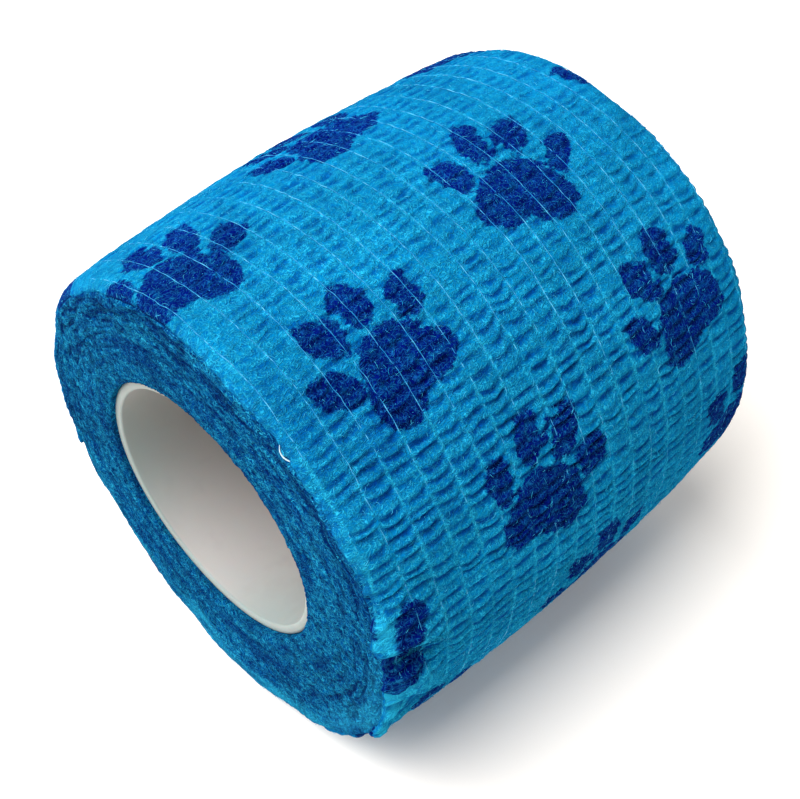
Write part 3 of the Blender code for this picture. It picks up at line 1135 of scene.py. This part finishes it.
def makeFibres():
    # each fibre is a bowed arc in the cloth's own across and along, with its ends in the cloth
    rng = np.random.default_rng(fibres["seed"])
    count = fibres["count"]
    rows, columns = clothAcross.shape
    r, c = rng.integers(30, rows - 6, count), rng.integers(0, columns, count)
    length = rng.uniform(*fibres["length"], count)[:, None]
    x = np.linspace(-0.5, 0.5, len(fibres["taper"]))[None, :]
    bow = rng.uniform(-0.9, 0.9, count)[:, None] * (x * x - 0.12)
    turn = rng.uniform(0, math.pi, count)[:, None]
    across = clothAcross[r, c][:, None] + length * (x * np.cos(turn) - bow * np.sin(turn))
    along = clothAlong[r, c][:, None] + length * (x * np.sin(turn) + bow * np.cos(turn))
    arch = rng.uniform(0.01, 0.09, count)[:, None] * (1 - 6 * x * x)
    lift = clothLift[r, c][:, None] + arch + 0.03
    reach = np.where(across < 0, edgeAcross(along, 0.5, -1), edgeAcross(along, 0.5, 1))
    paths = placePoints(*overRoll(stripAngle(along), np.clip(across, -reach, reach), lift))
    taper = np.array(fibres["taper"])[None, :]
    radii = fibres["radius"] * mm * taper * rng.uniform(0.7, 1.3, count)[:, None]
    tone = rng.random((count, 1)) ** 2.2
    tubes("looseFibres", paths, radii, fibres["sides"], materials["fibre"], tone)


makeFibres()

lint = {
    # angle and across of its middle, length and radius in mm, turn from across, bow, rise
    "strands": (
        (59.2, -24.75, 2.8, 0.066, 92.0, -0.85, 0.22),
        (86.0, 13.3, 2.4, 0.042, 28.0, -0.45, 0.16),
        (87.7, 6.0, 0.5, 0.075, 60.0, 0.50, 0.05),
        (35.0, -9.0, 1.4, 0.030, 110.0, 0.60, 0.14),
        (150.0, 9.0, 2.6, 0.035, 20.0, 0.80, 0.20),
        (118.0, -14.0, 1.6, 0.028, 75.0, -0.70, 0.12),
        (250.0, 4.0, 2.1, 0.032, 140.0, 0.65, 0.10),
        (330.0, -6.0, 1.8, 0.030, 15.0, 0.50, 0.14),
        (12.0, 15.0, 1.7, 0.028, 65.0, -0.60, 0.14),
        (70.0, 24.7, 2.0, 0.030, 100.0, 0.70, 0.25),
    ),
    "steps": 15,
    "sides": 5,
}


def makeLint():
    # bits of pale fluff caught on the cloth, each a parabola bow (x^2 - 1/12) that hooks at one end
    angle, across, length, radius, turn, bow, arch = np.array(lint["strands"]).T[:, :, None]
    x = np.linspace(-0.5, 0.5, lint["steps"])[None, :]
    hook = bow * (x * x - 1 / 12) + 0.55 * bow * np.maximum(x - 0.15, 0) ** 1.5
    turn = np.radians(turn)
    away = length * (x * np.cos(turn) - hook * np.sin(turn))
    onward = length * (x * np.sin(turn) + hook * np.cos(turn))
    lift = 0.10 + arch * (1 - 3.2 * x * x) + radius / 2
    paths = placePoints(*overRoll(angle + np.degrees(onward / roll["radius"]), across + away, lift))
    radii = radius * mm * (1 - 2.6 * x * x) * (1 + 0.2 * np.sin(9 * x + angle))
    tubes("lint", paths, radii, lint["sides"], materials["lint"])


makeLint()


# ---- core

core = {
    "wall": 1.0,
    "recessFar": 0.5,
    "lip": 0.35,
    "lipSteps": 12,
    "wallSteps": 6,
    "sides": 192,
    "sway": 0.04,  # how far the thin wall is out of round
    "uneven": 0.03,  # and its ends out of flat
}


def makeCore():
    # a tube turned about its own axis: outer wall, half-round lip, inner wall, half-round lip
    near = -halfWidth + roll["coreRecess"]
    far = halfWidth - core["recessFar"]
    wall, lip, steps = core["wall"], core["lip"], core["wallSteps"]
    inner = coreRadius - wall
    swing = np.linspace(0, math.pi, core["lipSteps"])
    lipR = coreRadius - wall / 2 + wall / 2 * np.sign(np.cos(swing)) * np.abs(np.cos(swing)) ** 0.6
    lipY = lip * np.sin(swing) ** 0.6
    walls = np.linspace(near + lip, far - lip, steps)
    profileR = np.concatenate((np.full(steps, coreRadius), lipR, np.full(steps, inner), lipR[::-1]))
    profileY = np.concatenate((walls, far - lip + lipY, walls[::-1], near + lip - lipY))
    keep = np.append(True, np.hypot(np.diff(profileR), np.diff(profileY)) > 1e-6)
    profileR, profileY = profileR[keep], profileY[keep]
    turn = 2 * math.pi * np.arange(core["sides"])[:, None] / core["sides"]
    sway = core["sway"] * (np.sin(2 * turn + 0.7) + 0.5 * np.sin(3 * turn + 2.0))
    radius = profileR + sway * (profileR < coreRadius - 0.1)
    x = roll["coreOffset"][0] + radius * np.cos(turn)
    z = roll["coreOffset"][1] + radius * np.sin(turn)
    y = profileY + core["uneven"] * np.sin(3 * turn + 1.0)
    points = ((np.stack((x, y, z), axis=-1) + rollCentre) * mm)[None]
    spans = (np.arange(core["sides"] + 1) * 0.45, np.arange(len(profileR) + 1.0))
    uv = np.stack(np.meshgrid(*spans, indexing="ij"), axis=-1)
    atLip = rise(np.maximum(near + lip - y, y - far + lip), -0.05, 0.05)
    fields = {"lip": atLip}
    piece = loft("coreTube", points, uv, fields, materials["core"], closedRows=True)
    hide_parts("core")


makeCore()


# ---- floor, light and camera

studio = {
    "floorSize": 3.0,
    "floorHeight": -0.00005,
    "floorColour": (0.97, 0.92, 0.86),
    "floorGlow": 0.06,  # keeps the shadow pale
    "world": 0.46,
    "key": {"place": (-0.05, -0.23, 0.56), "size": 0.42, "power": 5.5},
    "fill": {"place": (-0.46, -0.17, 0.30), "size": 0.4, "power": 1.05},
    "lightAim": (0, 0, 0.026),
}
view = {
    "azimuth": 45.62,
    "elevation": 48.45,
    "distance": 0.1434,
    "aim": (0.00081, -0.00075, -0.00098),
    "lens": 63.3,
}


def makeFloor():
    half = studio["floorSize"] / 2
    mesh = bpy.data.meshes.new("floor")
    corners = [(-half, -half, 0), (half, -half, 0), (half, half, 0), (-half, half, 0)]
    mesh.from_pydata(corners, [], [(0, 1, 2, 3)])
    floor = show("floor", mesh)
    floor.location.z = studio["floorHeight"]
    paper = newMaterial(
        "floorPaper", Base_Color=studio["floorColour"], Roughness=0.9, Specular_IOR_Level=0.1,
        Emission_Color=(1, 1, 1), Emission_Strength=studio["floorGlow"])
    mesh.materials.append(paper[0])


def place(name, data, location, direction):
    # an object whose -Z axis looks along the direction
    rig = show(name, data)
    rig.location = location
    rig.rotation_mode = "QUATERNION"
    rig.rotation_quaternion = direction.to_track_quat("-Z", "Y")
    return rig


def makeLight(name):
    settings = studio[name]
    light = bpy.data.lights.new(name, "AREA")
    light.shape, light.size, light.energy = "SQUARE", settings["size"], settings["power"]
    place(name, light, settings["place"], Vector(studio["lightAim"]) - Vector(settings["place"]))


def makeCamera():
    camera = bpy.data.cameras.new("camera")
    camera.lens = view["lens"]
    camera.clip_start, camera.clip_end = 0.005, 10.0
    azimuth, elevation = math.radians(view["azimuth"]), math.radians(view["elevation"])
    flat = math.cos(elevation)
    back = Vector((math.sin(azimuth) * flat, -math.cos(azimuth) * flat, math.sin(elevation)))
    aim = Vector(rollCentre * mm) + Vector(view["aim"])
    bpy.context.scene.camera = place("camera", camera, aim + back * view["distance"], -back)


def makeWorld():
    world = bpy.data.worlds.new("studio")
    world.use_nodes = True
    background = world.node_tree.nodes["Background"]
    background.inputs["Color"].default_value = (1, 1, 1, 1)
    background.inputs["Strength"].default_value = studio["world"]
    bpy.context.scene.world = world
    bpy.context.scene.view_settings.view_transform = "Standard"
    bpy.context.scene.view_settings.exposure = 0.0


makeFloor()
makeLight("key")
makeLight("fill")
makeCamera()
makeWorld()
print("stage made")

bpy.context.view_layer.update()
